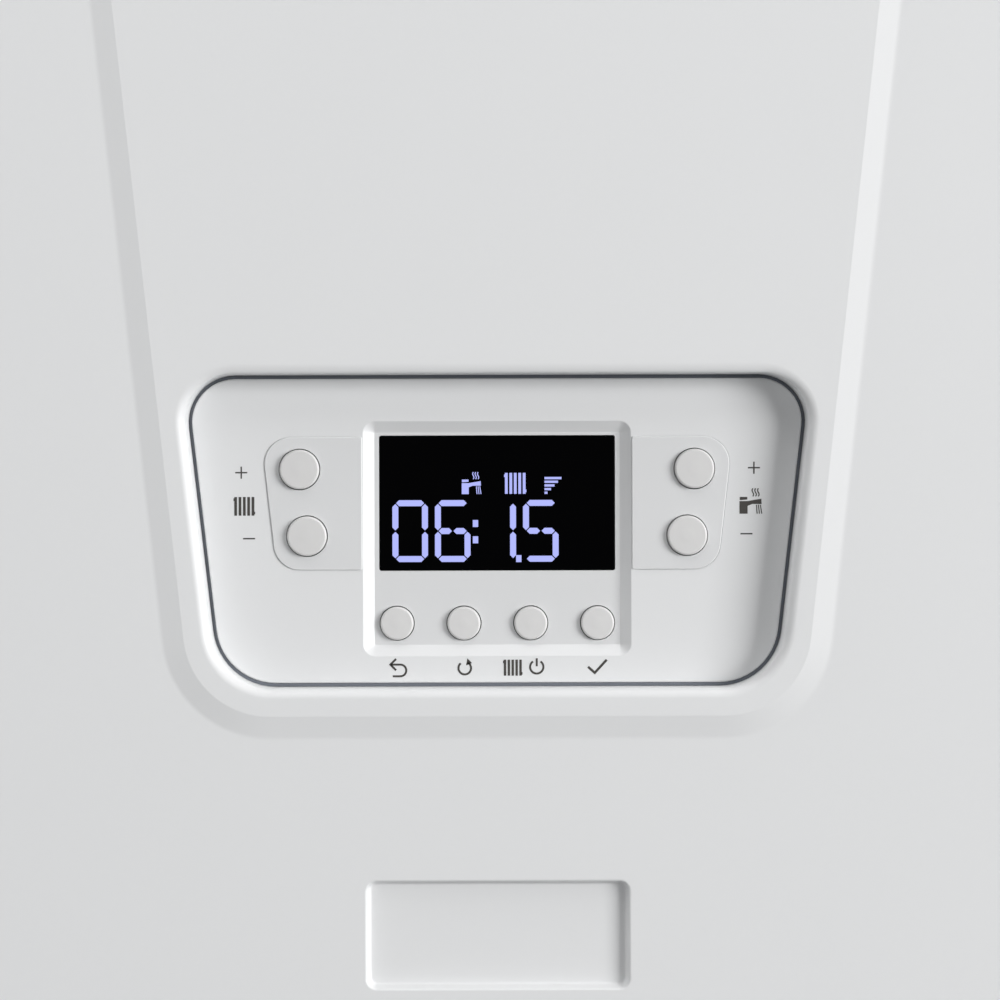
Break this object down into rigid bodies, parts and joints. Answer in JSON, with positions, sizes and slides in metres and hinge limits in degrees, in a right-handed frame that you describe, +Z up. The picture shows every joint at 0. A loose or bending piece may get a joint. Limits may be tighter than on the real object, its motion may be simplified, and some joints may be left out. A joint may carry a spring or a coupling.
{
  "type": "condensing gas boiler",
  "caption": "Wall-hung condensing gas boiler with a raised front shield, a dished control panel with display and push buttons, a pull-off case and a swing-down control box.",
  "frame": {"origin": "midway between the wall bracket's two holes, on the wall plane", "axes": "+X right as seen from the front, +Y into the wall, +Z up; the front faces -Y"},
  "size_m": [0.395, 0.279, 0.786],
  "materials": {
    "case_white": "satin",
    "panel_white": "satin",
    "button_grey": "satin",
    "display_black": "gloss",
    "galvanised": "satin",
    "zinc_screw": "bright",
    "black_rubber": "matt",
    "box_grey": "matt",
    "circuit_green": "satin",
    "switch_black": "satin",
    "stainless": "satin",
    "cast_aluminium": "cast",
    "ceramic_white": "satin",
    "black_plastic": "satin",
    "flue_grey": "satin",
    "vessel_red": "gloss",
    "copper": "tube",
    "brass": "machined",
    "copper_brazed": "brazed",
    "pump_black": "painted",
    "knob_red": "satin",
    "knob_blue": "satin",
    "trap_grey": "satin"
  },
  "bodies": {
    "chassis": {"wall_bracket": "galvanised", "back_plate": "galvanised", "wall_spacers": "black_rubber", "top_plate": "galvanised", "bottom_plate": "galvanised", "case_seals": "black_rubber", "hinge_brackets": "galvanised", "exchanger_shell": "stainless", "exchanger_core": "cast_aluminium", "burner_door": "cast_aluminium", "door_nuts": "zinc_screw", "burner_tube": "stainless", "electrodes": "ceramic_white", "premix_duct": "cast_aluminium", "fan_housing": "cast_aluminium", "fan_motor": "black_plastic", "gas_mixer": "cast_aluminium", "air_silencer": "black_plastic", "gas_valve": "cast_aluminium", "gas_pipe": "copper", "flue_outlet": "flue_grey", "flue_collar": "case_white", "collar_screws": "zinc_screw", "expansion_vessel": "vessel_red", "flow_pipe": "copper", "return_pipe": "copper", "vessel_pipe": "copper", "condensate_pipe": "trap_grey", "connection_tails": "brass", "flow_group": "brass", "return_group": "brass", "plate_exchanger": "copper_brazed", "pump_body": "pump_black", "pump_motor": "pump_black", "diverter_motor": "black_plastic", "safety_valve": "brass", "pressure_sensor": "brass", "condensate_trap": "trap_grey"},
    "outer_case": {"outer_case": "case_white", "case_screws": "zinc_screw"},
    "control_box": {"control_panel": "panel_white", "button_switches": "switch_black", "display_glass": "display_black", "display_board": "circuit_green", "main_board": "circuit_green", "control_box": "box_grey", "control_box_cover": "box_grey"},
    "fan_impeller": {"fan_impeller": "black_plastic"},
    "pump_impeller": {"pump_impeller": "black_plastic"},
    "diverter_spindle": {"diverter_spindle": "stainless"},
    "safety_knob": {"safety_knob": "knob_red"},
    "filling_knob": {"filling_knob": "knob_blue"},
    "button_heat_up": {"button_heat_up": "button_grey"},
    "button_heat_down": {"button_heat_down": "button_grey"},
    "button_water_up": {"button_water_up": "button_grey"},
    "button_water_down": {"button_water_down": "button_grey"},
    "button_back": {"button_back": "button_grey"},
    "button_reset": {"button_reset": "button_grey"},
    "button_power": {"button_power": "button_grey"},
    "button_confirm": {"button_confirm": "button_grey"}
  },
  "joints": [
    {"name": "case_pull", "type": "slide", "parent": "chassis", "child": "outer_case", "axis": [0, -1, 0], "range_m": [0, 0.4]},
    {"name": "box_swing", "type": "hinge", "parent": "chassis", "child": "control_box", "pos_m": [0, -0.235, -0.547], "axis": [1, 0, 0], "range_deg": [0, 90]},
    {"name": "fan_spin", "type": "hinge", "parent": "chassis", "child": "fan_impeller", "pos_m": [0, -0.19, -0.32], "axis": [1, 0, 0], "continuous": true},
    {"name": "pump_spin", "type": "hinge", "parent": "chassis", "child": "pump_impeller", "pos_m": [0.125, -0.1175, -0.485], "axis": [0, 1, 0], "continuous": true},
    {"name": "diverter_lift", "type": "slide", "parent": "chassis", "child": "diverter_spindle", "axis": [0, 0, 1], "range_m": [0, 0.007]},
    {"name": "safety_turn", "type": "hinge", "parent": "chassis", "child": "safety_knob", "pos_m": [0.066, -0.17, -0.565], "axis": [0, 1, 0], "range_deg": [0, 90]},
    {"name": "filling_turn", "type": "hinge", "parent": "chassis", "child": "filling_knob", "pos_m": [0.098, -0.122, -0.64], "axis": [0, 0, 1], "range_deg": [0, 270]},
    {"name": "press_heat_up", "type": "slide", "parent": "control_box", "child": "button_heat_up", "axis": [0, 1, 0], "range_m": [0, 0.0012], "stiffness_N_per_m": 900},
    {"name": "press_heat_down", "type": "slide", "parent": "control_box", "child": "button_heat_down", "axis": [0, 1, 0], "range_m": [0, 0.0012], "stiffness_N_per_m": 900},
    {"name": "press_water_up", "type": "slide", "parent": "control_box", "child": "button_water_up", "axis": [0, 1, 0], "range_m": [0, 0.0012], "stiffness_N_per_m": 900},
    {"name": "press_water_down", "type": "slide", "parent": "control_box", "child": "button_water_down", "axis": [0, 1, 0], "range_m": [0, 0.0012], "stiffness_N_per_m": 900},
    {"name": "press_back", "type": "slide", "parent": "control_box", "child": "button_back", "axis": [0, 1, 0], "range_m": [0, 0.0012], "stiffness_N_per_m": 900},
    {"name": "press_reset", "type": "slide", "parent": "control_box", "child": "button_reset", "axis": [0, 1, 0], "range_m": [0, 0.0012], "stiffness_N_per_m": 900},
    {"name": "press_power", "type": "slide", "parent": "control_box", "child": "button_power", "axis": [0, 1, 0], "range_m": [0, 0.0012], "stiffness_N_per_m": 900},
    {"name": "press_confirm", "type": "slide", "parent": "control_box", "child": "button_confirm", "axis": [0, 1, 0], "range_m": [0, 0.0012], "stiffness_N_per_m": 900}
  ],
  "couplings": [
    {"joint": "box_swing", "follows": "case_pull", "rad_per_m": 3.92}
  ]
}
